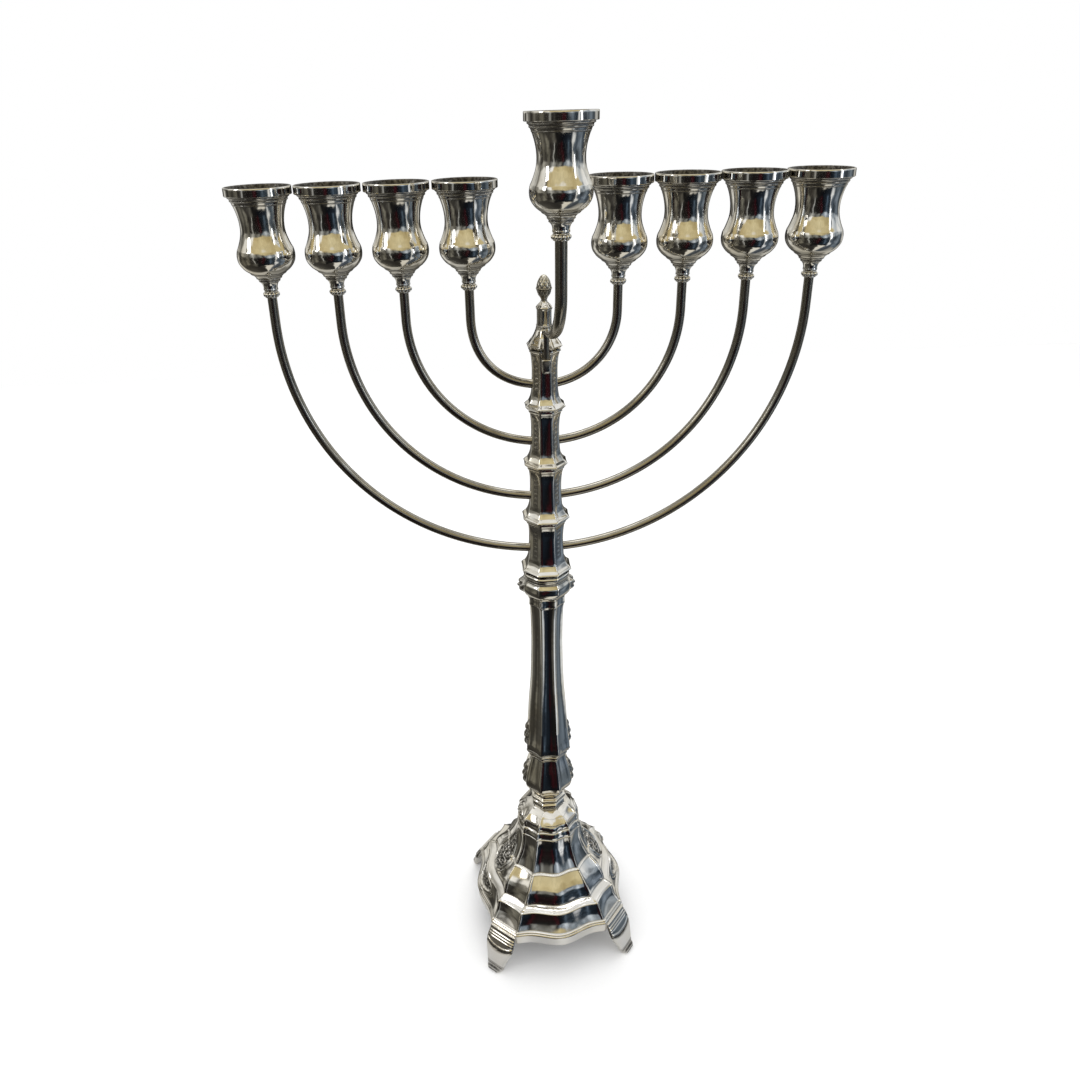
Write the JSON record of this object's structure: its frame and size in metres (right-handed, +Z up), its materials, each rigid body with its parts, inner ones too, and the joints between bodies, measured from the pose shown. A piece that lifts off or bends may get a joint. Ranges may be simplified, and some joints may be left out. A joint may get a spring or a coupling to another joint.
{
  "type": "menorah",
  "caption": "Silver-plated menorah: tulip cups on concentric round arms, a waisted octagonal column, a fluted shaft, a lift-off shamash and a stepped bell base on splayed feet.",
  "frame": {"origin": "on the floor plane, under the axis of the column", "axes": "+Z up along the column, +X to the right along the plane of the arms, +Y to the back; the shamash stands in front, towards -Y"},
  "size_m": [0.3366, 0.1297, 0.5738],
  "materials": {
    "polished_plate": "bright polished silver plate over cast and turned brass",
    "bright_base_plate": "bright polished silver plate, darkened in the embossed side panels",
    "drawn_tube_plate": "silver plate over drawn tube, slightly dulled and warm",
    "antiqued_plate": "antiqued silver plate",
    "plain_brass": "plain turned brass"
  },
  "bodies": {
    "stand": {"base_shell": "bright_base_plate", "foot_front_left": "bright_base_plate", "foot_front_right": "bright_base_plate", "foot_back_left": "bright_base_plate", "foot_back_right": "bright_base_plate", "base_neck_ring": "polished_plate", "lower_knop": "polished_plate", "fluted_shaft": "polished_plate", "shaft_collar": "polished_plate", "spine_segment_1": "polished_plate", "spine_segment_2": "polished_plate", "spine_segment_3": "polished_plate", "spine_segment_4": "polished_plate", "spine_top": "polished_plate", "finial": "antiqued_plate", "tie_rod": "plain_brass", "clamp_washer": "plain_brass", "clamp_nut": "plain_brass", "shamash_socket": "polished_plate", "arm_left_1": "drawn_tube_plate", "ferrule_left_1": "polished_plate", "cup_left_1": "polished_plate", "arm_left_2": "drawn_tube_plate", "ferrule_left_2": "polished_plate", "cup_left_2": "polished_plate", "arm_left_3": "drawn_tube_plate", "ferrule_left_3": "polished_plate", "cup_left_3": "polished_plate", "arm_left_4": "drawn_tube_plate", "ferrule_left_4": "polished_plate", "cup_left_4": "polished_plate", "arm_right_1": "drawn_tube_plate", "ferrule_right_1": "polished_plate", "cup_right_1": "polished_plate", "arm_right_2": "drawn_tube_plate", "ferrule_right_2": "polished_plate", "cup_right_2": "polished_plate", "arm_right_3": "drawn_tube_plate", "ferrule_right_3": "polished_plate", "cup_right_3": "polished_plate", "arm_right_4": "drawn_tube_plate", "ferrule_right_4": "polished_plate", "cup_right_4": "polished_plate"},
    "shamash": {"shamash_arm": "drawn_tube_plate", "shamash_ferrule": "polished_plate", "shamash_cup": "polished_plate"}
  },
  "joints": [
    {"name": "shamash_lift", "type": "slide", "parent": "stand", "child": "shamash", "axis": [0, 0, 1], "range_m": [0, 0.03]}
  ]
}
